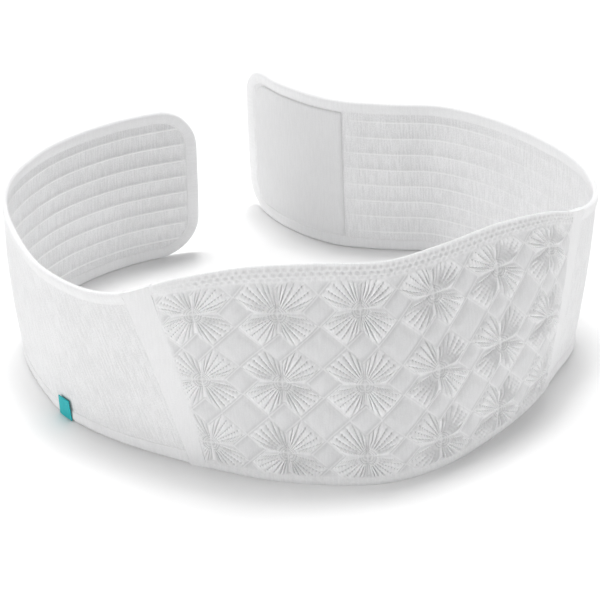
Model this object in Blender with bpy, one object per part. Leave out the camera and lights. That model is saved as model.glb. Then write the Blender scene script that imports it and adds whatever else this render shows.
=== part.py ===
# Maternity support belt: a quilted front panel between two elastic wings. It stands on its lower
# edge in an open loop, with the panel towards -Y and the two free ends behind. Metres, +Z up.
#
# Each piece is drawn flat, in three cut coordinates: along the belt from the left wing's end,
# share of the belt's width from its lower edge, and depth inward from the outer face.
# on_belt() then bends it round the waist.

import math
from collections import namedtuple

import bmesh
import bpy
from mathutils import Vector

MM = 0.001

# Lengths from here on are millimetres, and angles are degrees.
BELT_LENGTH = 1224
WING_LENGTH = 430  # from a free end to the join strip, half way up
WING_WIDTH = 140

# The layers of a wing, from the outer face inward
BINDING_WALL = 1.0
CLEARANCE = 0.3
ELASTIC_THICKNESS = 1.6
BINDING_WIDTH = 10
ELASTIC_INSET = BINDING_WALL + CLEARANCE
EDGE_THICKNESS = ELASTIC_THICKNESS + 2 * ELASTIC_INSET
RIM_CHAMFER = 0.7
WING_ROWS = (0, 0.064, 0.28, 0.5, 0.72, 0.936, 1)  # shares of the width where a wing is bent

# The quilting is a square lattice of flowers, drawn in pitches from the first flower of the lowest row.
FLOWER_PITCH = 57.8
FLOWER_COLUMNS = 6
PANEL_MIDDLE = 601
PATTERN_SKEW = 3.7  # how far the columns drift along the belt in one row
PANEL_PITCHES = 3.0
LOWER_MARGIN = 0.45
BORDER_PITCHES = 0.25
SMALL_DIAMOND = 0.2  # half its diagonal, half way between two flowers
LARGE_DIAMOND = 0.3  # half its diagonal, in the middle of four flowers
PILLOW_SPAN = 0.16  # from a seam to the crown of a pillow
GRID_STEP = 0.1
PETAL_RISE = 2.2
DIAMOND_RISE = 1.3

# Strips and seams slant, so each is given where it meets the belt's top and lower edge.
Slant = namedtuple("Slant", "top bottom")
LEFT_JOIN = Slant(399, 442)
LEFT_SEAM = Slant(422, 456)
RIGHT_SEAM = Slant(779, 762)
RIGHT_JOIN = Slant(802, 776)
STRIP_DEPTHS = (0.6, 3.6)

# The free ends, the hook patch and the tag
LEFT_END_RADIUS = 36
RIGHT_END_RADIUS = 27
HOOK_THICKNESS = 1.2
HOOK_REACH = (14, 110)  # from the right wing's free end
HOOK_ACROSS = (11, 129)
HOOK_RADIUS = 18
TAG_ALONG = (319, 334)
TAG_HEIGHT = 20
TAG_THICKNESS = 1.0

# The belt's lower edge, seen from above, and the middle of the box that the finished belt fills
PLAN_CENTRE = Vector((0.6, -2.5))
PlanRow = namedtuple("PlanRow", "along x y")
PLAN = (
    PlanRow(0, -88.6, 124.7),
    PlanRow(69, -151.1, 96.3),
    PlanRow(131, -197.7, 55.2),
    PlanRow(187, -221.4, 5.2),
    PlanRow(229, -220.9, -36.1),
    PlanRow(281, -202.2, -84.7),
    PlanRow(332, -174.1, -127.3),
    PlanRow(399, -120.0, -164.8),
    PlanRow(490, -35.4, -199.4),
    PlanRow(536, 10.0, -207.8),
    PlanRow(588, 61.5, -206.9),
    PlanRow(638, 106.4, -186.6),
    PlanRow(689, 144.6, -151.9),
    PlanRow(740, 176.7, -113.3),
    PlanRow(790, 201.0, -69.6),
    PlanRow(838, 221.4, -25.8),
    PlanRow(884, 218.6, 19.0),
    PlanRow(934, 193.7, 62.9),
    PlanRow(985, 158.0, 99.2),
    PlanRow(1033, 117.0, 122.2),
    PlanRow(1079, 71.5, 126.4),
    PlanRow(1123, 28.3, 136.0),
    PlanRow(1173, -11.2, 165.8),
    PlanRow(1224, -39.9, 207.8),
)

# How the belt rises from that edge: its width, its outward lean and the outward bow of its middle
StanceRow = namedtuple("StanceRow", "along width lean bow")
STANCE = (
    StanceRow(0, 140, 0.0, -3.0),
    StanceRow(130, 140, 1.0, 1.0),
    StanceRow(230, 140, 2.7, 3.5),
    StanceRow(330, 139, 5.4, 1.0),
    StanceRow(370, 139, 5.5, 1.0),
    StanceRow(400, 147, 5.3, 1.0),
    StanceRow(440, 168, 4.2, 1.0),
    StanceRow(490, 185, 2.0, 0.0),
    StanceRow(536, 187, -1.1, 1.0),
    StanceRow(588, 185, -3.2, 4.3),
    StanceRow(638, 187, -3.4, 4.5),
    StanceRow(689, 186, -1.7, 6.0),
    StanceRow(740, 176, 1.0, 4.8),
    StanceRow(790, 153, 2.7, 3.1),
    StanceRow(838, 141, 3.3, 2.1),
    StanceRow(884, 140, 2.8, 0.9),
    StanceRow(985, 140, 1.6, 0.0),
    StanceRow(1123, 140, 0.5, -0.4),
    StanceRow(1224, 140, -2.0, -0.9),
)


def between(low, high, share):
    return low + (high - low) * share


def smooth_value(table, column, along):
    # A cubic through the rows, with each row's slope taken from the rows beside it
    last = len(table) - 1
    i = 0
    while i < last - 1 and along > table[i + 1].along:
        i += 1

    def slope(k):
        before, after = table[max(k - 1, 0)], table[min(k + 1, last)]
        return (getattr(after, column) - getattr(before, column)) / (after.along - before.along)

    a, b = table[i], table[i + 1]
    span = b.along - a.along
    t = (along - a.along) / span
    start, end = getattr(a, column), getattr(b, column)
    return (
        start * (1 + 2 * t) * (1 - t) ** 2
        + slope(i) * span * t * (1 - t) ** 2
        + end * t * t * (3 - 2 * t)
        - slope(i + 1) * span * t * t * (1 - t)
    )


def plan_point(along):
    place = Vector((smooth_value(PLAN, "x", along), smooth_value(PLAN, "y", along)))
    return place - PLAN_CENTRE


def on_belt(along, share, depth):
    # The place, in metres, of a point given in cut coordinates
    heading = (plan_point(along + 1) - plan_point(along - 1)).normalized()
    outward = Vector((heading.y, -heading.x))
    rise = smooth_value(STANCE, "width", along) * share
    lean = math.radians(smooth_value(STANCE, "lean", along))
    bulge = smooth_value(STANCE, "bow", along) * 4 * share * (1 - share)
    place = plan_point(along) + outward * (rise * math.sin(lean) + bulge - depth)
    return Vector((place.x, place.y, rise * math.cos(lean))) * MM


def slant_at(slant, share):
    return between(slant.bottom, slant.top, share)


def on_left_wing(reach, across, depth):
    # A wing is cut as a plain rectangle with two round corners: reach runs from its free end.
    share = across / WING_WIDTH
    return on_belt(reach / WING_LENGTH * slant_at(LEFT_JOIN, share), share, depth)


def on_right_wing(reach, across, depth):
    share = across / WING_WIDTH
    length = BELT_LENGTH - slant_at(RIGHT_JOIN, share)
    return on_belt(BELT_LENGTH - reach / WING_LENGTH * length, share, depth)


def material(name, colour, roughness):
    made = bpy.data.materials.new(name)
    made.use_nodes = True
    shader = made.node_tree.nodes["Principled BSDF"]
    shader.inputs["Base Color"].default_value = (*colour, 1)
    shader.inputs["Roughness"].default_value = roughness
    shader.inputs["Metallic"].default_value = 0
    made.diffuse_color = (*colour, 1)
    return made


def add_object(name, bm, finish):
    bmesh.ops.recalc_face_normals(bm, faces=bm.faces)
    mesh = bpy.data.meshes.new(name)
    bm.to_mesh(mesh)
    bm.free()
    mesh.materials.append(finish)
    mesh.shade_smooth()
    mesh.set_sharp_from_angle(angle=math.radians(35))
    thing = bpy.data.objects.new(name, mesh)
    bpy.context.scene.collection.objects.link(thing)
    return thing


def loft(name, rings, finish):
    # A closed solid through rings of points, each ring joined to the next and both ends capped
    bm = bmesh.new()
    loops = [[bm.verts.new(point) for point in ring] for ring in rings]
    for here, there in zip(loops, loops[1:]):
        for k in range(len(here)):
            after = (k + 1) % len(here)
            bm.faces.new((here[k], here[after], there[after], there[k]))
    bm.faces.new(reversed(loops[0]))
    bm.faces.new(loops[-1])
    return add_object(name, bm, finish)


def loft_sheet(name, sections, finish):
    # A wall through sections, each a pair of rows of points: its outer face and its inner one
    bm = bmesh.new()
    walls = [[[bm.verts.new(point) for point in row] for row in section] for section in sections]
    rows = len(walls[0][0])
    for (outer, inner), (next_outer, next_inner) in zip(walls, walls[1:]):
        for k in range(rows - 1):
            bm.faces.new((outer[k], outer[k + 1], next_outer[k + 1], next_outer[k]))
            bm.faces.new((inner[k], next_inner[k], next_inner[k + 1], inner[k + 1]))
        bm.faces.new((inner[0], outer[0], next_outer[0], next_inner[0]))
        bm.faces.new((outer[-1], inner[-1], next_inner[-1], next_outer[-1]))
    for k in range(rows - 1):
        outer, inner = walls[0]
        bm.faces.new((inner[k], inner[k + 1], outer[k + 1], outer[k]))
        outer, inner = walls[-1]
        bm.faces.new((outer[k], outer[k + 1], inner[k + 1], inner[k]))
    return add_object(name, bm, finish)


def corner_reaches(radius, steps):
    # Where a round corner's points lie along the wing, up to where it meets the straight edge
    return [radius * (1 - math.cos(math.pi / 2 * i / steps)) for i in range(steps)]


def straight_reaches(radius):
    steps = 28
    return [between(radius, WING_LENGTH, i / steps) for i in range(steps + 1)]


def corner_drop(reach, radius):
    # How far a round corner takes the edge in, at this reach from the free end
    if reach >= radius:
        return 0.0
    return radius - math.sqrt(radius**2 - (radius - reach) ** 2)


def elastic_wing(name, place, radius, finish):
    # Its edge lies inside the binding, so its own corners are a little tighter.
    inset, own_radius = ELASTIC_INSET, radius - ELASTIC_INSET
    corner = [inset + reach for reach in corner_reaches(own_radius, steps=6)]
    sections = []
    for reach in corner + straight_reaches(radius):
        low = inset + corner_drop(reach - inset, own_radius)
        heights = [between(low, WING_WIDTH - low, row) for row in WING_ROWS]
        outer = [place(reach, height, inset) for height in heights]
        inner = [place(reach, height, inset + ELASTIC_THICKNESS) for height in heights]
        sections.append((outer, inner))
    return loft_sheet(name, sections, finish)


def binding_profile():
    # Across the tape, from its tip on the outer face round the belt's edge to its tip inside:
    # how far in from the edge, then the depth
    wall, tip, chamfer = BINDING_WALL, BINDING_WIDTH, RIM_CHAMFER
    thick = EDGE_THICKNESS
    return (
        (tip, wall),
        (tip, 0),
        (chamfer, 0),
        (0, chamfer),
        (0, thick - chamfer),
        (chamfer, thick),
        (tip, thick),
        (tip, thick - wall),
        (wall, thick - wall),
        (wall, wall),
    )


def edge_binding(name, place, radius, finish):
    # The tape runs along the top, down round the free end and back along the lower edge.
    rings = []

    def add_ring(reach, across, inward):
        rings.append(
            [place(reach + inward.x * w, across + inward.y * w, depth) for w, depth in binding_profile()]
        )

    def add_corner(middle, first_angle):
        steps = 7
        for i in range(steps + 1):
            angle = math.radians(between(first_angle, first_angle + 90, i / steps))
            outward = Vector((math.cos(angle), math.sin(angle)))
            add_ring(radius + radius * outward.x, middle + radius * outward.y, -outward)

    straight = straight_reaches(radius)[1:]
    for reach in reversed(straight):
        add_ring(reach, WING_WIDTH, Vector((0, -1)))
    add_corner(WING_WIDTH - radius, first_angle=90)
    for row in reversed(WING_ROWS[2:-2]):
        add_ring(0, WING_WIDTH * row, Vector((1, 0)))
    add_corner(radius, first_angle=180)
    for reach in straight:
        add_ring(reach, 0, Vector((0, 1)))
    return loft(name, rings, finish)


def join_strip(name, first, second, finish):
    # It is bent at the wing's rows and half way between them, and CLEARANCE is left on both sides.
    halfway = [(low + high) / 2 for low, high in zip(WING_ROWS, WING_ROWS[1:])]
    rows = sorted(WING_ROWS + tuple(halfway))
    sections = []
    for step in (0, 0.5, 1):
        side = between(CLEARANCE, -CLEARANCE, step)

        def spot(row, depth):
            along = between(slant_at(first, row), slant_at(second, row), step) + side
            return on_belt(along, row, depth)

        sections.append([[spot(row, depth) for row in rows] for depth in STRIP_DEPTHS])
    return loft_sheet(name, sections, finish)


def hook_patch(name, place, finish):
    seat = ELASTIC_INSET + ELASTIC_THICKNESS + CLEARANCE
    first, last = HOOK_REACH
    low, high = HOOK_ACROSS
    corner = [first + reach for reach in corner_reaches(HOOK_RADIUS, steps=4)]
    straight = [r for r in straight_reaches(RIGHT_END_RADIUS) if first + HOOK_RADIUS < r < last]
    reaches = corner + [first + HOOK_RADIUS] + straight + [last]
    sections = []
    for reach in reaches:
        drop = corner_drop(reach - first, HOOK_RADIUS)
        heights = [between(low + drop, high - drop, row / 4) for row in range(5)]
        outer = [place(reach, height, seat) for height in heights]
        inner = [place(reach, height, seat + HOOK_THICKNESS) for height in heights]
        sections.append((outer, inner))
    return loft_sheet(name, sections, finish)


def side_tag(name, finish):
    # A flat label against the outer face, its lower end at the belt's lower edge
    gap_depth = -CLEARANCE
    face_depth = gap_depth - TAG_THICKNESS
    heights = (0.4, 7, 14, TAG_HEIGHT)
    lean_back = 3.0  # its top is narrower than its foot, as the cloth folds over
    sections = []
    for i in range(3):
        outer, inner = [], []
        for height in heights:
            tuck = lean_back * height / TAG_HEIGHT
            along = between(TAG_ALONG[0] + tuck, TAG_ALONG[1], i / 2)
            outer.append(on_belt(along, height / WING_WIDTH, face_depth))
            inner.append(on_belt(along, height / WING_WIDTH, gap_depth))
        sections.append((outer, inner))
    return loft_sheet(name, sections, finish)


def pillow(distance, rise):
    # A stitched pillow: steep at its seam and level once its crown is reached
    t = min(distance / PILLOW_SPAN, 1.0)
    return rise * (1 - (1 - t) ** 2)


def quilt_relief(column, row):
    # The height of the padding at a point of the lattice. Around each flower the seams fold
    # into one eighth of a cell: a petal, a small diamond on the axis and a large one at the corner.
    x = abs(column - round(column))
    y = abs(row - round(row))
    x, y = max(x, y), min(x, y)
    to_small = (x - y - 0.5 + SMALL_DIAMOND) / math.sqrt(2)
    to_large = (x + y - 1 + LARGE_DIAMOND) / math.sqrt(2)
    edge = min(row + LOWER_MARGIN, PANEL_PITCHES - LOWER_MARGIN - BORDER_PITCHES - row)
    fade = max(0.0, min(edge / GRID_STEP, 1.0))
    if to_large > 0:
        return fade * pillow(to_large, DIAMOND_RISE)
    if to_small > 0:
        return fade * pillow(to_small, DIAMOND_RISE)
    return fade * pillow(min(y, -to_small, -to_large), PETAL_RISE)


def pattern_along(column, row):
    middle = (FLOWER_COLUMNS - 1) / 2
    return PANEL_MIDDLE + FLOWER_PITCH * (column - middle) - PATTERN_SKEW * (row - 1)


def pattern_share(row):
    return (row + LOWER_MARGIN) / PANEL_PITCHES


def pattern_column(along, row):
    middle = (FLOWER_COLUMNS - 1) / 2
    return middle + (along - PANEL_MIDDLE + PATTERN_SKEW * (row - 1)) / FLOWER_PITCH


def panel_sheet(step):
    # A flat grid on the lattice, trimmed to the panel's outline
    bm = bmesh.new()
    first, last = -1, FLOWER_COLUMNS
    low, high = -0.5, PANEL_PITCHES - 0.4
    columns, rows = round((last - first) / step), round((high - low) / step)
    bmesh.ops.create_grid(bm, x_segments=columns, y_segments=rows, size=0.5)
    middle = Vector(((first + last) / 2, (low + high) / 2, 0))
    bmesh.ops.scale(bm, vec=(last - first, high - low, 1), verts=bm.verts)
    bmesh.ops.translate(bm, vec=middle, verts=bm.verts)

    bottom, top = -LOWER_MARGIN, PANEL_PITCHES - LOWER_MARGIN
    left = [Vector((pattern_column(LEFT_SEAM.bottom, bottom), bottom, 0)),
            Vector((pattern_column(LEFT_SEAM.top, top), top, 0))]
    right = [Vector((pattern_column(RIGHT_SEAM.bottom, bottom), bottom, 0)),
             Vector((pattern_column(RIGHT_SEAM.top, top), top, 0))]
    left_way, right_way = left[1] - left[0], right[1] - right[0]
    trims = (
        (Vector((0, bottom, 0)), Vector((0, -1, 0))),
        (Vector((0, top, 0)), Vector((0, 1, 0))),
        (left[0], Vector((-left_way.y, left_way.x, 0))),
        (right[0], Vector((right_way.y, -right_way.x, 0))),
    )
    for point, outward in trims:
        geometry = bm.verts[:] + bm.edges[:] + bm.faces[:]
        bmesh.ops.bisect_plane(
            bm, geom=geometry, dist=1e-5, plane_co=point, plane_no=outward, clear_outer=True
        )
    return bm


def fold_along_valleys(bm):
    # Each quad of the quilting is split along its lower diagonal, so that the seams stay straight.
    for face in [f for f in bm.faces if len(f.verts) == 4]:
        a, b, c, d = face.verts
        if a.co.z + c.co.z <= b.co.z + d.co.z:
            bmesh.utils.face_split(face, a, c)
        else:
            bmesh.utils.face_split(face, b, d)


def quilted_panel(name, finish):
    coarse_step = 0.5
    outer = panel_sheet(GRID_STEP)
    for vert in outer.verts:
        vert.co.z = quilt_relief(vert.co.x, vert.co.y)
    fold_along_valleys(outer)
    for vert in outer.verts:
        column, row = vert.co.xy
        vert.co = on_belt(pattern_along(column, row), pattern_share(row), -vert.co.z)

    inner = panel_sheet(coarse_step)
    for vert in inner.verts:
        column, row = vert.co.xy
        vert.co = on_belt(pattern_along(column, row), pattern_share(row), EDGE_THICKNESS)

    back = bpy.data.meshes.new("panel_back")
    inner.to_mesh(back)
    inner.free()
    outer.from_mesh(back)
    bpy.data.meshes.remove(back)
    rims = [edge for edge in outer.edges if edge.is_boundary]
    bmesh.ops.bridge_loops(outer, edges=rims)
    bmesh.ops.triangulate(outer, faces=[f for f in outer.faces if len(f.verts) > 3])
    return add_object(name, outer, finish)


def build_belt():
    for old in list(bpy.data.objects):
        bpy.data.objects.remove(old)

    quilted = material("quilted_knit", (0.80, 0.80, 0.81), 0.85)
    plain = material("plain_knit", (0.84, 0.84, 0.85), 0.80)
    elastic = material("ribbed_elastic", (0.82, 0.82, 0.83), 0.85)
    binding = material("smooth_binding", (0.87, 0.87, 0.88), 0.75)
    hook = material("soft_hook", (0.76, 0.76, 0.77), 0.90)
    teal = material("teal_tape", (0.02, 0.48, 0.50), 0.60)

    quilted_panel("quilted_panel", quilted)
    join_strip("join_strip_left", LEFT_JOIN, LEFT_SEAM, plain)
    join_strip("join_strip_right", RIGHT_SEAM, RIGHT_JOIN, plain)
    elastic_wing("elastic_wing_left", on_left_wing, LEFT_END_RADIUS, elastic)
    elastic_wing("elastic_wing_right", on_right_wing, RIGHT_END_RADIUS, elastic)
    edge_binding("edge_binding_left", on_left_wing, LEFT_END_RADIUS, binding)
    edge_binding("edge_binding_right", on_right_wing, RIGHT_END_RADIUS, binding)
    hook_patch("hook_patch", on_right_wing, hook)
    side_tag("side_tag", teal)


build_belt()
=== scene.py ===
# Looks of the maternity support belt: a quilted front panel between two elastic wings.
# Each soft piece is drawn flat, in millimetres, and then bent round the waist.
import math

import bmesh
import bpy
import numpy as np
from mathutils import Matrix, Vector, noise


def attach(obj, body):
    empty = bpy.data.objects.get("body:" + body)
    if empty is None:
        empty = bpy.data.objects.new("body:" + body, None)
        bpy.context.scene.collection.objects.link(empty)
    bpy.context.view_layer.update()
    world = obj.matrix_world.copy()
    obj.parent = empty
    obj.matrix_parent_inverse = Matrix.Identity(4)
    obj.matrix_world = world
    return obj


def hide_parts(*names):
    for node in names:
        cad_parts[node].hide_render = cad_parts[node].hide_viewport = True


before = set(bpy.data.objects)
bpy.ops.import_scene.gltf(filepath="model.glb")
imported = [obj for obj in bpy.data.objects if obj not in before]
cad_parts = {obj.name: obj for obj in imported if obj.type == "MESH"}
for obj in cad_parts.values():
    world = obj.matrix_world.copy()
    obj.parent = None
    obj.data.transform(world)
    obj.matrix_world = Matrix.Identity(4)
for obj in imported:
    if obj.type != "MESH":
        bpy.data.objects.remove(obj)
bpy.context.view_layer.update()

mm = 0.001

# The belt's lower edge seen from above: how far along the belt, then where
beltLine = {
    "along": (0, 69, 131, 187, 229, 281, 332, 399, 490, 536, 588, 638,
              689, 740, 790, 838, 884, 934, 985, 1033, 1079, 1123, 1173, 1224),
    "x": (-88.6, -151.1, -197.7, -221.4, -220.9, -202.2, -174.1, -120.0, -35.4, 10.0, 61.5, 106.4,
          144.6, 176.7, 201.0, 221.4, 218.6, 193.7, 158.0, 117.0, 71.5, 28.3, -11.2, -39.9),
    "y": (124.7, 96.3, 55.2, 5.2, -36.1, -84.7, -127.3, -164.8, -199.4, -207.8, -206.9, -186.6,
          -151.9, -113.3, -69.6, -25.8, 19.0, 62.9, 99.2, 122.2, 126.4, 136.0, 165.8, 207.8),
}
# How it rises from there: its width, its outward lean in degrees and the bow of its middle
beltStance = {
    "along": (0, 130, 230, 330, 370, 400, 440, 490, 536, 588,
              638, 689, 740, 790, 838, 884, 985, 1123, 1224),
    "width": (140, 140, 140, 139, 139, 147, 168, 185, 187, 185,
              187, 186, 176, 153, 141, 140, 140, 140, 140),
    "lean": (0, 1, 2.7, 5.4, 5.5, 5.3, 4.2, 2, -1.1, -3.2,
             -3.4, -1.7, 1, 2.7, 3.3, 2.8, 1.6, 0.5, -2),
    "bow": (-3, 1, 3.5, 1, 1, 1, 1, 0, 1, 4.3,
            4.5, 6, 4.8, 3.1, 2.1, 0.9, 0, -0.4, -0.9),
}
belt = {
    "length": 1224,
    "centre": (0.6, -2.5),  # the middle of the belt's box, in beltLine's coordinates
    "edgeThickness": 4.2,
    "leftJoin": (442, 399),  # slanting seams: where they meet the lower edge, then the top
    "leftSeam": (456, 422),
    "rightSeam": (762, 779),
    "rightJoin": (776, 802),
}


def smoothColumn(table, column, at):
    # A cubic through the rows, with each row's slope taken from the rows beside it
    rows = np.array(table["along"], float)
    values = np.array(table[column], float)
    before = np.maximum(np.arange(len(rows)) - 1, 0)
    after = np.minimum(np.arange(len(rows)) + 1, len(rows) - 1)
    slopes = (values[after] - values[before]) / (rows[after] - rows[before])
    i = np.clip(np.searchsorted(rows, at) - 1, 0, len(rows) - 2)
    span = rows[i + 1] - rows[i]
    t = (at - rows[i]) / span
    return (
        values[i] * (1 + 2 * t) * (1 - t) ** 2
        + slopes[i] * span * t * (1 - t) ** 2
        + values[i + 1] * t * t * (3 - 2 * t)
        - slopes[i + 1] * span * t * t * (1 - t)
    )


def onBelt(along, share, depth):
    # Places in metres, from how far along, share of the width and depth in from the outer face
    def plan(at):
        return np.stack([smoothColumn(beltLine, "x", at), smoothColumn(beltLine, "y", at)])

    heading = plan(along + 1) - plan(along - 1)
    heading /= np.linalg.norm(heading, axis=0)
    rise = smoothColumn(beltStance, "width", along) * share
    lean = np.radians(smoothColumn(beltStance, "lean", along))
    bulge = smoothColumn(beltStance, "bow", along) * 4 * share * (1 - share)
    outward = rise * np.sin(lean) + bulge - depth
    x = plan(along)[0] - belt["centre"][0] + heading[1] * outward
    y = plan(along)[1] - belt["centre"][1] - heading[0] * outward
    return np.stack([x, y, rise * np.cos(lean)], axis=1) * mm


def slantAt(name, share):
    low, high = belt[name]
    return low + (high - low) * share


def onLeftWing(reach, across, depth):
    share = across / wing["width"]
    return reach / wing["length"] * slantAt("leftJoin", share), share, depth


def onRightWing(reach, across, depth):
    share = across / wing["width"]
    length = belt["length"] - slantAt("rightJoin", share)
    return belt["length"] - reach / wing["length"] * length, share, depth


def evenly(start, end, step):
    count = max(round((end - start) / step), 1)
    return [start + (end - start) * i / count for i in range(count + 1)]


def newBmesh():
    # cloth holds, for each point, its place in the flat cloth in metres, and a mark from -1, where painted shade
    # darkens needle holes, grooves, seams and dimples, to 1 on a light thread (on the elastic partly a painted
    # highlight)
    bm = bmesh.new()
    return bm, bm.verts.layers.float_vector.new("cloth")


def addPatch(bm, columns, rows, shape):
    # A grid whose points are placed by shape(column, row)
    made = bmesh.ops.create_grid(bm, x_segments=columns, y_segments=rows, size=0.5)
    cloth = bm.verts.layers.float_vector["cloth"]
    for vert in made["verts"]:
        column = round((vert.co.x + 0.5) * columns)
        row = round((vert.co.y + 0.5) * rows)
        place, mark = shape(column, row)
        vert.co = place
        vert[cloth] = mark


def bentPiece(name, bm, place):
    # Bends a flat bmesh round the waist, and makes it an object that sits at the origin
    mesh = bpy.data.meshes.new(name)
    bm.to_mesh(mesh)
    bm.free()
    flat = np.empty(len(mesh.vertices) * 3, np.float32)
    mesh.vertices.foreach_get("co", flat)
    bent = onBelt(*place(*flat.reshape(-1, 3).T.astype(float)))
    mesh.vertices.foreach_set("co", bent.astype(np.float32).ravel())
    outward = bmesh.new()
    outward.from_mesh(mesh)
    bmesh.ops.recalc_face_normals(outward, faces=outward.faces)
    outward.to_mesh(mesh)
    outward.free()
    mesh.shade_smooth()
    mesh.set_sharp_from_angle(angle=math.radians(70))
    piece = bpy.data.objects.new(name, mesh)
    bpy.context.scene.collection.objects.link(piece)
    return piece


def dress(piece, finish, node):
    piece.data.materials.append(finish)
    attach(piece, "root")
    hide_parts(node)


# Cloth finishes. Lengths are millimetres.
finishes = {
    "quilted": {
        "colour": (0.84, 0.84, 0.845), "roughness": 0.85, "sheen": 0.15,
        "weave": 1.0, "weaveDepth": 0.05, "ribs": 0, "ribDepth": 0,
        # The darker colour here is painted shade, laid by negative marks into needle holes, grooves, seams, dimples
        # and the low diamonds
        "thread": (1.0, 1.0, 1.0), "paintedShade": (0.42, 0.42, 0.43), "tone": 0.03,
    },
    "plain": {
        "colour": (0.85, 0.85, 0.855), "roughness": 0.80, "sheen": 0.15,
        "weave": 0.9, "weaveDepth": 0.03, "ribs": 0, "ribDepth": 0,
        "tone": 0.02,
    },
    "elastic": {
        "colour": (0.855, 0.855, 0.86), "roughness": 0.85, "sheen": 0.10,
        "weave": 1.1, "weaveDepth": 0.08, "ribs": 2.4, "ribDepth": 0.055,
        # The lines' thread colour is partly their own white and partly a painted highlight
        "thread": (1.0, 1.0, 1.0), "tone": 0.055,
    },
    "binding": {
        "colour": (0.87, 0.87, 0.875), "roughness": 0.75, "sheen": 0.15,
        "weave": 0.8, "weaveDepth": 0.03, "ribs": 0, "ribDepth": 0,
        "tone": 0.02,
    },
    "hook": {
        "colour": (0.82, 0.82, 0.825), "roughness": 0.90, "sheen": 0.25,
        "weave": 0.7, "weaveDepth": 0.06, "ribs": 0, "ribDepth": 0,
        "tone": 0.02,
    },
    "tag": {
        "colour": (0.015, 0.47, 0.50), "roughness": 0.60, "sheen": 0.10,
        "weave": 0.8, "weaveDepth": 0.04, "ribs": 0, "ribDepth": 0,
        "tone": 0.03,
    },
}


def clothFinish(name):
    look = finishes[name]
    finish = bpy.data.materials.new(name + "Cloth")
    finish.use_nodes = True
    nodes, links = finish.node_tree.nodes, finish.node_tree.links
    shader = nodes["Principled BSDF"]

    def node(kind, **settings):
        made = nodes.new(kind)
        for key, value in settings.items():
            setattr(made, key, value)
        return made

    def maths(operation, first, second=0.0):
        made = node("ShaderNodeMath", operation=operation)
        for socket, value in zip(made.inputs, (first, second)):
            if isinstance(value, (int, float)):
                socket.default_value = value
            else:
                links.new(value, socket)
        return made.outputs[0]

    def cloudy(scale, upright=1.0):
        # Soft noise from 0 to 1 in the cloth's own coordinates, drawn out upwards if upright is small
        made = node("ShaderNodeTexNoise", noise_dimensions="2D")
        made.inputs["Scale"].default_value = scale
        made.inputs["Detail"].default_value = 3
        drawn = node("ShaderNodeVectorMath", operation="MULTIPLY")
        drawn.inputs[1].default_value = (1, upright, 0)
        links.new(cloth.outputs["Vector"], drawn.inputs[0])
        links.new(drawn.outputs[0], made.inputs["Vector"])
        return made.outputs["Fac"]

    def waves(along, pitch):
        return maths("SINE", maths("MULTIPLY", along, 2 * math.pi / (pitch * mm)))

    cloth = node("ShaderNodeAttribute", attribute_name="cloth")
    apart = node("ShaderNodeSeparateXYZ")
    links.new(cloth.outputs["Vector"], apart.inputs[0])
    across, up, mark = apart.outputs

    # Fine weave and grain, with uneven upright ribs on the elastic, as relief in millimetres
    weave = maths("MULTIPLY", waves(across, look["weave"]), waves(up, look["weave"]))
    grain = maths("SUBTRACT", cloudy(900), 0.5)
    relief = maths("MULTIPLY", maths("ADD", weave, maths("MULTIPLY", grain, 3.0)), look["weaveDepth"])
    streaks = maths("SUBTRACT", cloudy(650, 0.12), 0.5)
    if look["ribs"]:
        ribs = maths("MULTIPLY", waves(across, look["ribs"]), cloudy(60))
        ribs = maths("ADD", ribs, maths("MULTIPLY", streaks, 5.0))
        relief = maths("ADD", relief, maths("MULTIPLY", ribs, look["ribDepth"]))
    bump = node("ShaderNodeBump")
    bump.inputs["Distance"].default_value = mm
    bump.inputs["Strength"].default_value = 1.0
    links.new(relief, bump.inputs["Height"])
    links.new(bump.outputs[0], shader.inputs["Normal"])

    # Its colour drifts a little; threads have their own colour, and marks below zero blend towards painted shade in
    # needle holes, grooves, seams, dimples and the low diamonds
    shade = node("ShaderNodeMix", data_type="RGBA")
    drift = maths("ADD", cloudy(25), maths("MULTIPLY", maths("ADD", streaks, grain), 2.5))
    links.new(drift, shade.inputs["Factor"])
    low, high = 1 - look["tone"], 1 + look["tone"]
    shade.inputs["A"].default_value = (*[min(c * low, 1) for c in look["colour"]], 1)
    shade.inputs["B"].default_value = (*[min(c * high, 1) for c in look["colour"]], 1)
    colour = shade.outputs["Result"]
    for stitched, sign in (("thread", 1), ("paintedShade", -1)):
        if stitched in look:
            marked = node("ShaderNodeMix", data_type="RGBA")
            links.new(maths("MULTIPLY", mark, sign), marked.inputs["Factor"])
            links.new(colour, marked.inputs["A"])
            marked.inputs["B"].default_value = (*look[stitched], 1)
            colour = marked.outputs["Result"]
    links.new(colour, shader.inputs["Base Color"])
    shader.inputs["Roughness"].default_value = look["roughness"]
    shader.inputs["Sheen Weight"].default_value = look["sheen"]
    shader.inputs["Sheen Roughness"].default_value = 0.5
    shader.inputs["Specular IOR Level"].default_value = 0.25
    return finish


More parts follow.
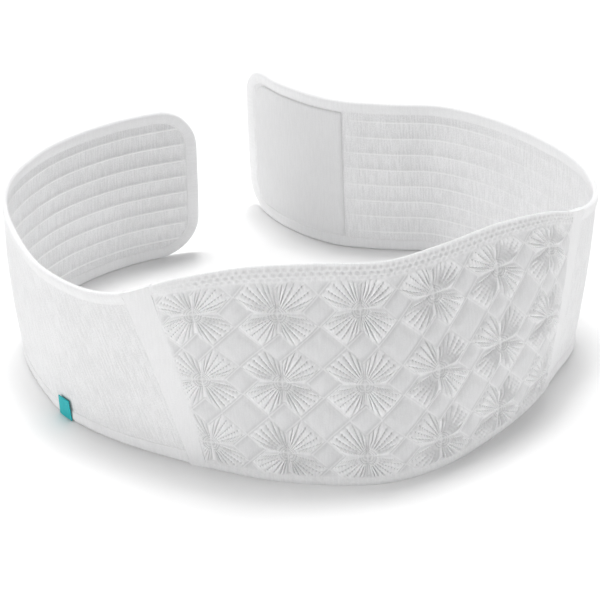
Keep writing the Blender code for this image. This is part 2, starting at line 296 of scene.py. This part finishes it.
# The quilted panel. Its lattice is counted in pitches from the first flower of the lowest row,
# and is drawn level: the cloth layer holds its height until it is trimmed.
quilt = {
    "pitch": 57.8,
    "columns": 6,
    "rows": 3,
    "middle": 601,
    "skew": 3.7,  # how far the columns drift along the belt in one row
    "bottom": -0.45,
    "top": 2.55,
    "bottomCut": -0.33,  # between the cuts lie the flowers, and outside them the dimpled borders
    "topCut": 2.36,
    "smallDiamond": 0.2,
    "largeDiamond": 0.3,
    "ribs": (2, 4, 2),  # a petal's ribs that end on its three outer sides
    "ribStations": (0, 0.13, 0.5, 0.87),
    "heart": 0.045,
    "heartHeight": 0.4,
    "arcStep": 0.0155,
    "arcs": 5,
    "arcRise": 0.55,
    "arcMark": 0.45,
    "stitches": 16,
    "holeDip": 0.5,
    "stitchRise": 0.25,
    "dotsEnd": 0.8,  # the grooves' holes run together near here, from 0 level to 1 upright
    "stitchMark": 0.9,
    # Marks below zero paint shade: in needle holes, grooves, flower seams, channel ridges and the low diamonds
    "holeShade": -0.8,
    "grooveShade": -0.2,
    "seamShade": -0.4,
    "ridgeShade": -0.05,
    "uprightMark": 0.7,  # the thread along a flower's upright seam is lighter
    "diamondShade": -0.2,
    "fainter": 0.45,  # the painted shade of the channels that fall to the right, beside that of those that rise
    "levelFainter": 0.25,
    "seamDip": 0.7,
    "channel": 0.016,
    "channelRidge": 0.45,
    "narrower": 0.008,  # how much nearer the seams stand in the channels that fall to the right
    "petalRise": 2.8,
    "petalSpan": 0.075,
    "diamondRise": 2.0,
    "diamondSpan": 0.13,
    "rounding": 0.024,
    "lens": 0.018,
    "uprightSeam": 1.7,  # how much steeper the pads fall to a flower's upright seam
    "levelSeam": 0.022,
    "ribDip": 0.65,
    "unevenness": 0.2,
    "wobble": ((1.3, 0.012), (5.0, 0.004)),  # how seams wander: waves to a pitch, and how far
    "slips": ((1, 0.8, -0.07), (5, 0.7, 0.065)),
    "cutHeight": 0.3,
    "fade": 0.05,
    "faint": {"leftSeam": (0.45, 1.0), "rightSeam": (0.6, 0.5)},
}


def padHeight(distances, rise, span):
    # Height near stitched channels: a low ridge between their two seams, then the pad
    channel, rounding = quilt["channel"], quilt["rounding"]
    nearest = min(distances)
    distance = nearest - rounding * math.log(sum(math.exp((nearest - d) / rounding) for d in distances))
    if distance < channel:
        return quilt["channelRidge"] * min(1 - distance / channel, 1)
    t = min((distance - channel) / span, 1)
    return rise * (1 - (1 - t) ** 2)


def petalRim():
    # Points along a petal's three outer sides, each with its place across its rib
    small, large = 0.5 - quilt["smallDiamond"], 0.5 - quilt["largeDiamond"]
    corners = [Vector(c) for c in ((small, 0), (0.5, large), (large, 0.5), (0, small))]
    rim = []
    for start, end, ribs in zip(corners, corners[1:], quilt["ribs"]):
        for rib in range(ribs):
            rim += [(start.lerp(end, (rib + s) / ribs), s) for s in quilt["ribStations"]]
    return rim + [(corners[-1], 0)]


def petalHeight(x, y, ribShare, rising):
    # A petal whose centre line rises to the right has its outer side on a channel that falls
    small, large = 0.5 - quilt["smallDiamond"], 1 - quilt["largeDiamond"]
    valley = (2 * ribShare - 1) ** 2 * min(max((math.hypot(x, y) - 0.06) / 0.1, 0), 1)
    lens = quilt["lens"] * math.exp(-((y / 0.07) ** 2))
    onSmall, onLarge = (0, quilt["narrower"]) if rising else (quilt["narrower"], 0)
    sides = (
        (small - x + y) / math.sqrt(2) + onSmall,
        (small + x - y) / math.sqrt(2) + onSmall,
        (large - x - y) / math.sqrt(2) + onLarge,
        (x - lens) * quilt["uprightSeam"],
        y + quilt["levelSeam"],
    )
    grown = min(math.hypot(x, y) / 0.25, 1)
    rise = quilt["petalRise"] * (1 - quilt["ribDip"] * valley) * (0.45 + 0.55 * grown)
    return padHeight(sides, rise, quilt["petalSpan"])


def addPetal(bm, sideX, sideY):
    rim = petalRim()
    heart, arcs, stitches = quilt["heart"], quilt["arcs"], quilt["stitches"]
    small, large = 0.5 - quilt["smallDiamond"], 1 - quilt["largeDiamond"]

    def shape(column, row):
        edge, ribShare = rim[column]
        last = len(rim) - 1
        if column in (1, last - 1) and row <= arcs + stitches:
            # The flower's own seams keep clear of each other as far as the rim
            edge = edge.lerp(rim[2 if column == 1 else last - 2][0], 0.5)
        far = edge.length
        # How far the flower's centre is from the side that this rib ends on
        onSmall = abs(abs(edge.x - edge.y) - small) < 1e-6
        sideDistance = (small if onSmall else large) / math.sqrt(2)
        seam = far * (1 - quilt["channel"] / sideDistance)
        arcEnd = heart + arcs * quilt["arcStep"]
        stitch = (seam - arcEnd) / stitches
        if row <= arcs:
            reach = heart + row * quilt["arcStep"]
        elif row <= arcs + stitches:
            reach = arcEnd + (row - arcs) * stitch
        else:
            reach = far
        spot = edge * (reach / far)
        height = petalHeight(spot.x, spot.y, ribShare, sideX == sideY)
        turn = math.atan2(spot.y, spot.x) / (math.pi / 2)  # 0 at the level seam, 1 at the upright one
        dotted = min(max((quilt["dotsEnd"] - turn) / 0.3, 0), 1)
        edges = (0, 1, last - 1, last)
        rising = sideX == sideY
        nearGroove = {0: 1.0, quilt["ribStations"][1]: 0.2, quilt["ribStations"][-1]: 0.2}.get(ribShare, 0)
        nearGroove *= column not in edges
        plain, stitched, paintedShade = quilt["grooveShade"], quilt["stitchMark"], quilt["holeShade"]
        mark = 0
        # The channels round the petal and the flower's seams are painted darker, as shade; the upright seam's
        # thread is lighter
        if row >= arcs + stitches:
            mark = quilt["ridgeShade"] if row > arcs + stitches else quilt["seamShade"]
            mark *= quilt["fainter"] if onSmall != rising else 1
        elif column in edges:
            mark = quilt["seamShade"] if column in edges[1:3] else quilt["ridgeShade"]
            if column == last:
                mark = quilt["uprightMark"]
            strength = quilt["levelFainter"] if column < 2 else 0.6
            mark *= strength if column != last else 1
            height -= strength * quilt["seamDip"] * (column in edges[1:3]) * min(row / arcs, 1)
        elif row <= arcs:
            # Small knobs ring the heart, and fade out at the petal's sides; between them and on the grooves the
            # cloth is painted darker, as shade
            height += quilt["arcRise"] * (row % 2) * min(6 * turn * (1 - turn), 1)
            height -= quilt["holeDip"] * (nearGroove == 1) * (row % 2)
            mark = quilt["arcMark"] * (1 - nearGroove) + paintedShade * nearGroove if row % 2 else plain * 2
        elif nearGroove:
            # A rib's groove is needle holes near the level seam, and a plain line near the upright one; both are
            # painted darker, as shade, and the stitches between the holes lighter
            fine = min(stitch / quilt["channel"], 1) * (nearGroove == 1)
            if row % 2:
                height -= quilt["holeDip"] * fine
                mark = (plain + (paintedShade - plain) * dotted) * nearGroove
            else:
                height += (quilt["stitchRise"] * dotted - quilt["holeDip"] * (1 - dotted)) * fine
                mark = (plain + (stitched - plain) * dotted) * nearGroove
        return (spot.x * sideX, spot.y * sideY, 0), (height, 0, mark)

    addPatch(bm, len(rim) - 1, arcs + stitches + 1, shape)


def addDiamond(bm, centre, half, ribs):
    stations = [(rib + s) / ribs for rib in range(ribs) for s in quilt["ribStations"]] + [1]
    side = half * math.sqrt(2)
    last = len(stations) - 1

    def shape(column, row):
        u, v = stations[column], stations[row]
        x = centre[0] + half * (u - v)
        y = centre[1] + half * (u + v - 1)
        narrower = quilt["narrower"]
        sides = [side * u + narrower, side * (1 - u) + narrower, side * v, side * (1 - v)]
        height = padHeight(sides, quilt["diamondRise"], quilt["diamondSpan"])
        # The diamond's channel ridges and seams, and more faintly its whole inside, are painted darker, as shade
        marks = {0: quilt["ridgeShade"], 1: quilt["seamShade"]}
        mark = marks.get(min(row, last - row))
        if mark is None:
            mark = quilt["fainter"] * marks.get(min(column, last - column), quilt["diamondShade"] / quilt["fainter"])
        return (x, y, 0), (height, 0, mark)

    addPatch(bm, last, last, shape)


def seamColumn(name, row):
    # Where a slanting seam crosses this row of the lattice
    share = (row - quilt["bottom"]) / (quilt["top"] - quilt["bottom"])
    along = slantAt(name, share)
    middle = (quilt["columns"] - 1) / 2
    return middle + (along - quilt["middle"] + quilt["skew"] * (row - 1)) / quilt["pitch"]


def trim(bm, bottom, top):
    # Cuts the lattice at two rows and along the slanting seams
    cuts = [
        (Vector((0, bottom, 0)), Vector((0, -1, 0))),
        (Vector((0, top, 0)), Vector((0, 1, 0))),
    ]
    for name, side in (("leftSeam", -1), ("rightSeam", 1)):
        low, high = seamColumn(name, bottom), seamColumn(name, top)
        cuts.append((Vector((low, bottom, 0)), Vector((top - bottom, low - high, 0)) * side))
    for point, outward in cuts:
        geometry = bm.verts[:] + bm.edges[:] + bm.faces[:]
        bmesh.ops.bisect_plane(
            bm, geom=geometry, dist=1e-5, plane_co=point, plane_no=outward, clear_outer=True
        )


def heartEdge(edge):
    # Whether an edge rings the bare heart of a flower
    middle = (edge.verts[0].co + edge.verts[1].co) / 2
    x, y = middle.x - round(middle.x), middle.y - round(middle.y)
    return edge.is_boundary and math.hypot(x, y) < quilt["heart"] * 1.1


def quiltedFront():
    # The outer face as far as the borders: petals and diamonds, copied over the lattice
    cell, cloth = newBmesh()
    for sideX in (-1, 1):
        for sideY in (-1, 1):
            addPetal(cell, sideX, sideY)
    addDiamond(cell, (0.5, 0), quilt["smallDiamond"], quilt["ribs"][0])
    addDiamond(cell, (0, 0.5), quilt["smallDiamond"], quilt["ribs"][0])
    addDiamond(cell, (0.5, 0.5), quilt["largeDiamond"], quilt["ribs"][1])
    bmesh.ops.remove_doubles(cell, verts=cell.verts, dist=1e-5)
    hearts = bmesh.ops.holes_fill(cell, edges=[e for e in cell.edges if heartEdge(e)], sides=0)
    middles = bmesh.ops.poke(cell, faces=hearts["faces"])
    for vert in middles["verts"]:
        vert[cloth] = (quilt["heartHeight"], 0, 0)
    template = bpy.data.meshes.new("cell")
    cell.to_mesh(template)
    cell.free()

    front, cloth = newBmesh()
    for column in range(-1, quilt["columns"] + 1):
        for row in range(-1, quilt["rows"]):
            already = len(front.verts)
            front.from_mesh(template)
            front.verts.ensure_lookup_table()
            bmesh.ops.translate(front, vec=(column, row, 0), verts=front.verts[already:])
    bpy.data.meshes.remove(template)
    bmesh.ops.remove_doubles(front, verts=front.verts, dist=1e-4)
    for vert in front.verts:
        drift = [noise.noise_vector(Vector((*(vert.co.xy * waves), 3))) * far for waves, far in quilt["wobble"]]
        vert.co.xy += sum(drift, Vector()).xy
    trim(front, quilt["bottomCut"], quilt["topCut"])
    for vert in front.verts:
        # The pads sink to the cuts and seams, and no two are stuffed quite alike
        x, y = vert.co.xy
        inside = {"leftSeam": x - seamColumn("leftSeam", y), "rightSeam": seamColumn("rightSeam", y) - x}
        edge = min(y - quilt["bottomCut"], quilt["topCut"] - y, *inside.values())
        stuffing = 1 + quilt["unevenness"] * noise.noise(Vector((x * 2.7, y * 2.7, 0)))
        stuffing += quilt["unevenness"] * noise.noise(Vector((x * 11, y * 11, 5)))
        for seam, (least, reach) in quilt["faint"].items():
            stuffing *= least + (1 - least) * min(max(inside[seam] / reach, 0), 1)
        height, _, mark = vert[cloth]
        near = min(max(edge / quilt["fade"], 0), 1)
        vert[cloth] = (quilt["cutHeight"] * (1 - near) + height * stuffing * near, 0, mark * near)
    return front


border = {
    "rimRadius": 0.9,
    "columns": 380,
    "first": 0.5,
    "step": 0.9,
    "plainRim": 0.9,  # from the belt's edge to the nearest dimples
    "dimplePitch": 5.2,
    "dimpleRows": 3.15,
    "dip": {"topCut": 1.3, "bottomCut": 0.4},
    "faintReach": 42,  # beside the left seam the dimples are faint as far as this
    "faintest": 0.15,
    "swell": 0.8,
}


def dimpleShare(along, down):
    # How deep into a dimple a point lies; the dimples stand in staggered rows
    rowTurn = down / border["dimpleRows"]
    rowNumber = math.floor(rowTurn)
    turn = along / border["dimplePitch"] + 0.5 * (rowNumber % 2)
    alongShare = (turn - math.floor(turn) - 0.5) / 0.42
    acrossShare = (rowTurn - rowNumber - 0.5) / 0.46
    return max(0, 1 - alongShare**2 - acrossShare**2)


def stitchRows(bm, first, second):
    # Joins two rows of points, both in order of x, with triangles
    i, j = 0, 0
    while i < len(first) - 1 or j < len(second) - 1:
        ahead = i < len(first) - 1 and (
            j == len(second) - 1 or first[i + 1].co.x < second[j + 1].co.x
        )
        if ahead:
            bm.faces.new((first[i], first[i + 1], second[j]))
            i += 1
        else:
            bm.faces.new((first[i], second[j + 1], second[j]))
            j += 1


def rowAt(bm, y):
    # The open edge's points at this height of the lattice, in order of x
    points = {v for e in bm.edges if e.is_boundary for v in e.verts if abs(v.co.y - y) < 1e-5}
    return sorted(points, key=lambda v: v.co.x)


def addBorder(front, cutName, endName):
    # A dimpled band from the cut to the belt's edge, and round that edge to the inner side
    cut, end = quilt[cutName], quilt[endName]
    pitch, rimRadius = quilt["pitch"], border["rimRadius"]
    way = 1 if end > cut else -1
    width = abs(end - cut) * pitch
    flat = width - rimRadius
    stations = [(distance, 0) for distance in evenly(border["first"], flat, border["step"])]
    for i in range(1, 7):
        turn = math.radians(30 * i)
        stations.append((flat + rimRadius * math.sin(turn), rimRadius * (1 - math.cos(turn))))

    def shape(column, row):
        distance, depth = stations[row]
        y = cut + way * distance / pitch
        left, right = seamColumn("leftSeam", y), seamColumn("rightSeam", y)
        x = left + (right - left) * column / border["columns"]
        height, mark = -depth, 0
        clear = min(max((x - left) * pitch / border["faintReach"], border["faintest"]), 1)
        if depth == 0:
            swell = math.sin(math.pi * min(distance / flat, 1)) ** 0.5
            height = quilt["cutHeight"] * (1 - distance / flat) + border["swell"] * swell
            if distance < width - border["plainRim"]:
                deep = dimpleShare(x * pitch, distance) * clear
                height -= border["dip"][cutName] * deep * swell
                # The dimples are also painted darker, as shade, as deep as they sink
                mark = -0.15 * deep * border["dip"][cutName]
        return (x, y, 0), (height, 0, mark)

    above = rowAt(front, cut)
    addPatch(front, border["columns"], len(stations) - 1, shape)
    stitchRows(front, above, rowAt(front, cut + way * border["first"] / pitch))


def onPanel(column, row, height):
    # Two flowers of the top row have slipped a little, one down and one up
    upper = np.where(row > 2, (quilt["top"] - row) / (quilt["top"] - 2), row - 1).clip(0, 1)
    upper = upper * upper * (3 - 2 * upper)
    for at, reach, slip in quilt["slips"]:
        row = row + slip * upper * np.exp(-(((column - at) / reach) ** 2))
    middle = (quilt["columns"] - 1) / 2
    along = quilt["middle"] + quilt["pitch"] * (column - middle) - quilt["skew"] * (row - 1)
    share = (row - quilt["bottom"]) / (quilt["top"] - quilt["bottom"])
    return along, share, -height


lining = {"perPitch": 14, "relief": 0.5, "thinEdge": 8}


def addLining(front):
    # The inner face shows the quilting's channels faintly
    inset = border["rimRadius"] / quilt["pitch"]
    back, cloth = newBmesh()
    across, up = quilt["columns"] + 2, 4

    def shape(column, row):
        x, y = -1 + column / lining["perPitch"], -1 + row / lining["perPitch"]
        u, v = abs(x - round(x)), abs(y - round(y))
        small, large = 0.5 - quilt["smallDiamond"], 1 - quilt["largeDiamond"]
        seams = (abs(abs(u - v) - small), abs(u + v - large))
        t = min(min(seams) / math.sqrt(2) / quilt["diamondSpan"], 1)
        height = lining["relief"] * (1 - (1 - t) ** 2)
        return (x, y, 0), (-belt["edgeThickness"] - height, 0, 0)

    addPatch(back, across * lining["perPitch"], up * lining["perPitch"], shape)
    low, high = quilt["bottom"] + inset, quilt["top"] - inset
    trim(back, low, high)
    for vert in back.verts:
        # The panel thins out to its rim
        inside = min(vert.co.y - low, high - vert.co.y) * quilt["pitch"]
        thinner = (belt["edgeThickness"] - 2 * border["rimRadius"]) * max(1 - inside / lining["thinEdge"], 0)
        vert[cloth] += Vector((thinner, 0, 0))
    mesh = bpy.data.meshes.new("back")
    back.to_mesh(mesh)
    back.free()
    front.from_mesh(mesh)
    bpy.data.meshes.remove(mesh)
    bmesh.ops.bridge_loops(front, edges=[e for e in front.edges if e.is_boundary])


def makePanel():
    front = quiltedFront()
    addBorder(front, "topCut", "top")
    addBorder(front, "bottomCut", "bottom")
    addLining(front)
    cloth = front.verts.layers.float_vector["cloth"]
    for vert in front.verts:
        height, _, mark = vert[cloth]
        vert.co.z = height
        place = vert.co.xy * quilt["pitch"] * mm
        vert[cloth] = (place.x, place.y, mark)
    panel = bentPiece("quiltedFrontPanel", front, onPanel)
    dress(panel, clothFinish("quilted"), "quilted_panel")
    return panel


print("quilted panel")
makePanel()


# The elastic wings, drawn from their free ends
wing = {
    "length": 430,
    "width": 140,
    "depth": 1.3,
    "thickness": 1.6,
    "corner": {"left": 36, "right": 27},
    "step": 3.3,
    "lines": 8,
    "firstLine": 17.5,
    "lineStep": 15.0,
    "lineRise": 0.5,
    "lineHalf": 0.5,
    # How strongly the lines stand out at each reach from the free end: how far they rise and how much lighter they
    # are painted, which is partly their white thread and partly a painted highlight where they catch the light
    "lineShow": {
        "left": ((0, 10, 15, 160, 230, 430), (0, 0, 1, 1, 0.3, 0.2)),
        "right": ((0, 110, 112, 135, 190, 250, 430), (0, 0, 0.15, 0.6, 0.6, 0.2, 0.1)),
    },
}


def cornerDrop(reach, radius):
    # How far a round corner takes the edge in, at this reach from the free end
    if reach >= radius:
        return 0.0
    return radius - math.sqrt(max(radius**2 - (radius - reach) ** 2, 0))


def cornerReaches(radius, steps):
    return [radius * (1 - math.cos(math.pi / 2 * i / steps)) for i in range(steps)]


def bridged(bm):
    bmesh.ops.bridge_loops(bm, edges=[e for e in bm.edges if e.is_boundary])
    return bm


def makeWing(side, place, node):
    radius = wing["corner"][side] - wing["depth"]
    inset = wing["depth"]
    reaches = [inset + r for r in cornerReaches(radius, 10)] + evenly(inset + radius, wing["length"], wing["step"])
    lines = [wing["firstLine"] + wing["lineStep"] * k for k in range(wing["lines"])]
    half = wing["lineHalf"]
    heights = {inset, wing["width"] - inset, 7.0, wing["width"] - 7.0}
    for line in lines:
        heights.update((line - 2 * half, line - half, line + half, line + 2 * half))
    heights = sorted(heights)
    bm, _ = newBmesh()
    for face in (0, 1):
        def shape(column, row):
            reach, height = reaches[column], heights[row]
            drop = cornerDrop(reach - inset, radius)
            across = min(max(height, inset + drop), wing["width"] - inset - drop)
            depth = wing["depth"] + wing["thickness"] * face
            mark = 0
            if face:
                nearest = min(abs(height - line) for line in lines)
                later = 5 if height < wing["firstLine"] + 5 or height > wing["width"] - wing["firstLine"] - 5 else 0
                strength = float(np.interp(reach - later, *wing["lineShow"][side]))
                # The lines rise and are painted lighter: partly white thread, partly a painted highlight that
                # follows lineShow along the wing
                if nearest < half * 1.1:
                    depth += wing["lineRise"] * strength
                    mark = strength
            return (reach, across, depth), (reach * mm, across * mm, mark)

        addPatch(bm, len(reaches) - 1, len(heights) - 1, shape)
    bmesh.ops.remove_doubles(bm, verts=bm.verts, dist=1e-4)
    piece = bentPiece(side + "ElasticWing", bridged(bm), place)
    dress(piece, elasticFinish, node)
    return piece


binding = {
    "width": 10,
    "wall": 1.0,
    "thickness": 4.2,
    "round": 2.05,
    "step": 3.3,
    # Its edge thins out to the elastic, with a stitched groove: back from the tip, and depth
    "edge": ((0, 1.3), (0.15, 1.05), (0.5, 0.88), (1.0, 0.8), (1.5, 0.88), (2.0, 0.66), (3.4, 0.36), (5.2, 0.08)),
}


def bindingProfile():
    # Round the folded tape from its tip inside the outer face, as (in from the edge, depth)
    tip, wall, thick, bend = binding["width"], binding["wall"], binding["thickness"], binding["round"]
    outside = [(tip - back, depth) for back, depth in binding["edge"]] + [(bend * 1.6, 0.0)]
    for i in range(5):
        turn = math.radians(90 * i / 4)
        outside.append((bend * (1 - math.sin(turn)), bend * (1 - math.cos(turn))))
    inside = [(w, thick - d) for w, d in reversed(outside)]
    lining = [(wall, thick - wall), (wall, wall)]
    return outside + inside + lining


def makeBinding(side, place, node):
    radius = wing["corner"][side]
    profile = bindingProfile()
    stations = []
    straight = evenly(radius, wing["length"], binding["step"])
    for reach in reversed(straight[1:]):
        stations.append((reach, wing["width"], Vector((0, -1))))
    for i in range(13):
        turn = math.radians(90 + 90 * i / 12)
        outward = Vector((math.cos(turn), math.sin(turn)))
        stations.append((radius * (1 + outward.x), wing["width"] - radius + radius * outward.y, -outward))
    for height in reversed(evenly(radius, wing["width"] - radius, binding["step"])[1:-1]):
        stations.append((0, height, Vector((1, 0))))
    for i in range(13):
        turn = math.radians(180 + 90 * i / 12)
        outward = Vector((math.cos(turn), math.sin(turn)))
        stations.append((radius * (1 + outward.x), radius + radius * outward.y, -outward))
    for reach in straight[1:]:
        stations.append((reach, 0, Vector((0, 1))))
    run = [0]
    for before, after in zip(stations, stations[1:]):
        run.append(run[-1] + math.dist(before[:2], after[:2]))

    def shape(column, row):
        reach, across, inward = stations[column]
        w, depth = profile[row % len(profile)]
        spot = (reach + inward.x * w, across + inward.y * w, depth)
        return spot, (run[column] * mm, w * mm, 0)

    bm, _ = newBmesh()
    addPatch(bm, len(stations) - 1, len(profile), shape)
    bmesh.ops.remove_doubles(bm, verts=bm.verts, dist=1e-4)
    ends = [e for e in bm.edges if e.is_boundary]
    bmesh.ops.holes_fill(bm, edges=ends, sides=0)
    piece = bentPiece(side + "Binding", bm, place)
    dress(piece, bindingFinish, node)
    return piece


strip = {
    # Depths of its two faces, beside the panel and beside the wing
    "outer": {"panel": -0.2, "wing": 1.1},
    "inner": {"panel": 4.0, "wing": 3.1},
    "hem": 12,  # nearer the edges than this it is level, as the binding is
    "swell": 0.15,
    "columns": 8,
    "rows": 60,
    "gap": 0.05,
}


def makeStrip(side, first, second, node):
    bm, _ = newBmesh()
    for face in (0, 1):
        def shape(column, row):
            u, share = column / strip["columns"], row / strip["rows"]
            start, end = slantAt(first, share) + strip["gap"], slantAt(second, share) - strip["gap"]
            along = start + (end - start) * u
            fromEdge = min(share, 1 - share) * wing["width"]
            towardsWing = (1 - u if side == "left" else u) * min(fromEdge / strip["hem"], 1)
            depths = strip["inner" if face else "outer"]
            swell = strip["swell"] * math.sin(math.pi * u) ** 0.5
            depth = depths["panel"] + (depths["wing"] - depths["panel"]) * towardsWing
            depth += swell * (2 * face - 1)
            return (along, share, depth), (along * mm, share * 0.15, 0)

        addPatch(bm, strip["columns"], strip["rows"], shape)
    piece = bentPiece(side + "JoinStrip", bridged(bm), lambda along, share, depth: (along, share, depth))
    dress(piece, plainFinish, node)
    return piece


patch = {
    "reach": (14, 110),
    "across": (11, 129),
    "depth": 2.95,
    "thickness": 1.3,
    "radius": 18,
    "edge": 0.6,
    "edgeRise": 0.4,
}


def makePatch():
    first, last = patch["reach"]
    low, high = patch["across"]
    radius, edge = patch["radius"], patch["edge"]
    reaches = [first + r for r in cornerReaches(radius, 10)] + evenly(first + radius, last, 3)
    reaches = sorted(set(reaches + [first + edge, last - edge]))
    heights = sorted(set(evenly(low, high, 3) + [low + edge, high - edge]))
    bm, _ = newBmesh()
    for face in (0, 1):
        def shape(column, row):
            reach, height = reaches[column], heights[row]
            drop = cornerDrop(reach - first, radius)
            share = (height - low) / (high - low)
            across = low + drop + share * (high - low - 2 * drop)
            border = min(reach - first, last - reach, across - low - drop, high - drop - across)
            rise = patch["thickness"] if border > patch["edge"] / 2 else patch["edgeRise"]
            depth = patch["depth"] + rise * face
            return (reach, across, depth), (reach * mm, across * mm, 0)

        addPatch(bm, len(reaches) - 1, len(heights) - 1, shape)
    piece = bentPiece("hookPatchPad", bridged(bm), onRightWing)
    dress(piece, clothFinish("hook"), "hook_patch")
    return piece


tag = {"along": (319, 334), "height": 20, "tuck": 3.0, "thickness": 0.7, "lift": 0.4, "foot": 0.4}


def makeTag():
    bm, _ = newBmesh()
    columns, rows = 8, 12
    for face in (0, 1):
        def shape(column, row):
            u, v = column / columns, row / rows
            height = tag["foot"] + (tag["height"] - tag["foot"]) * v
            first = tag["along"][0] + tag["tuck"] * v
            along = first + (tag["along"][1] - first) * u
            depth = -tag["lift"] - tag["thickness"] * (1 - face)
            return (along, height / wing["width"], depth), (along * mm, height * mm, 0)

        addPatch(bm, columns, rows, shape)
    piece = bentPiece("sideTagTape", bridged(bm), lambda along, share, depth: (along, share, depth))
    dress(piece, clothFinish("tag"), "side_tag")
    return piece


print("wings, bindings and strips")
elasticFinish = clothFinish("elastic")
bindingFinish = clothFinish("binding")
plainFinish = clothFinish("plain")
makeWing("left", onLeftWing, "elastic_wing_left")
makeWing("right", onRightWing, "elastic_wing_right")
makeBinding("left", onLeftWing, "edge_binding_left")
makeBinding("right", onRightWing, "edge_binding_right")
makeStrip("left", "leftJoin", "leftSeam", "join_strip_left")
makeStrip("right", "rightSeam", "rightJoin", "join_strip_right")
makePatch()
makeTag()


# Floor, light and camera
studio = {
    "floorSize": 12,
    "world": 0.02,
    "cameraPlace": (-0.26, -1359.87, 901.16),
    "cameraPitch": 32.69,
    "lens": 120,
}


def makeStudio():
    bm = bmesh.new()
    bmesh.ops.create_grid(bm, x_segments=1, y_segments=1, size=studio["floorSize"] / 2)
    mesh = bpy.data.meshes.new("floor")
    bm.to_mesh(mesh)
    bm.free()
    floor = bpy.data.objects.new("floor", mesh)
    bpy.context.scene.collection.objects.link(floor)
    paper = bpy.data.materials.new("paper")
    paper.use_nodes = True
    shader = paper.node_tree.nodes["Principled BSDF"]
    shader.inputs["Base Color"].default_value = (0.94, 0.94, 0.94, 1)
    shader.inputs["Roughness"].default_value = 0.9
    shader.inputs["Specular IOR Level"].default_value = 0.1
    mesh.materials.append(paper)

    world = bpy.data.worlds.new("studio")
    bpy.context.scene.world = world
    world.use_nodes = True
    world.node_tree.nodes["Background"].inputs["Color"].default_value = (1, 1, 1, 1)
    world.node_tree.nodes["Background"].inputs["Strength"].default_value = studio["world"]

    bpy.context.scene.view_settings.view_transform = "Standard"
    camera = bpy.data.objects.new("camera", bpy.data.cameras.new("camera"))
    camera.data.lens = studio["lens"]
    camera.data.sensor_width = 36
    camera.location = Vector(studio["cameraPlace"]) * mm
    camera.rotation_euler = (math.radians(90 - studio["cameraPitch"]), 0, 0)
    bpy.context.scene.collection.objects.link(camera)
    bpy.context.scene.camera = camera


# Soft light from both sides and from above, a little behind: where from, strength and softness
lights = {
    "leftSoftbox": ((-1.0, -0.5, 0.4), 1.58, 44),
    "rightSoftbox": ((1.0, -0.4, 0.38), 1.45, 54),
    "topSoftbox": ((0.04, 0.18, 1.0), 0.96, 12),
    "topLeftSoftbox": ((-0.14, 0.1, 1.0), 0.88, 12),
    "topBackSoftbox": ((0.0, 0.45, 1.0), 0.30, 40),
    "backWall": ((0.0, 1.0, 0.35), 1.45, 100),
}


def addLights():
    for name, (place, strength, softness) in lights.items():
        light = bpy.data.lights.new(name, "SUN")
        light.energy = strength
        light.angle = math.radians(softness)
        lamp = bpy.data.objects.new(name, light)
        lamp.location = place
        lamp.rotation_euler = Vector(place).to_track_quat("Z", "Y").to_euler()
        bpy.context.scene.collection.objects.link(lamp)


print("floor, light and camera")
makeStudio()
addLights()
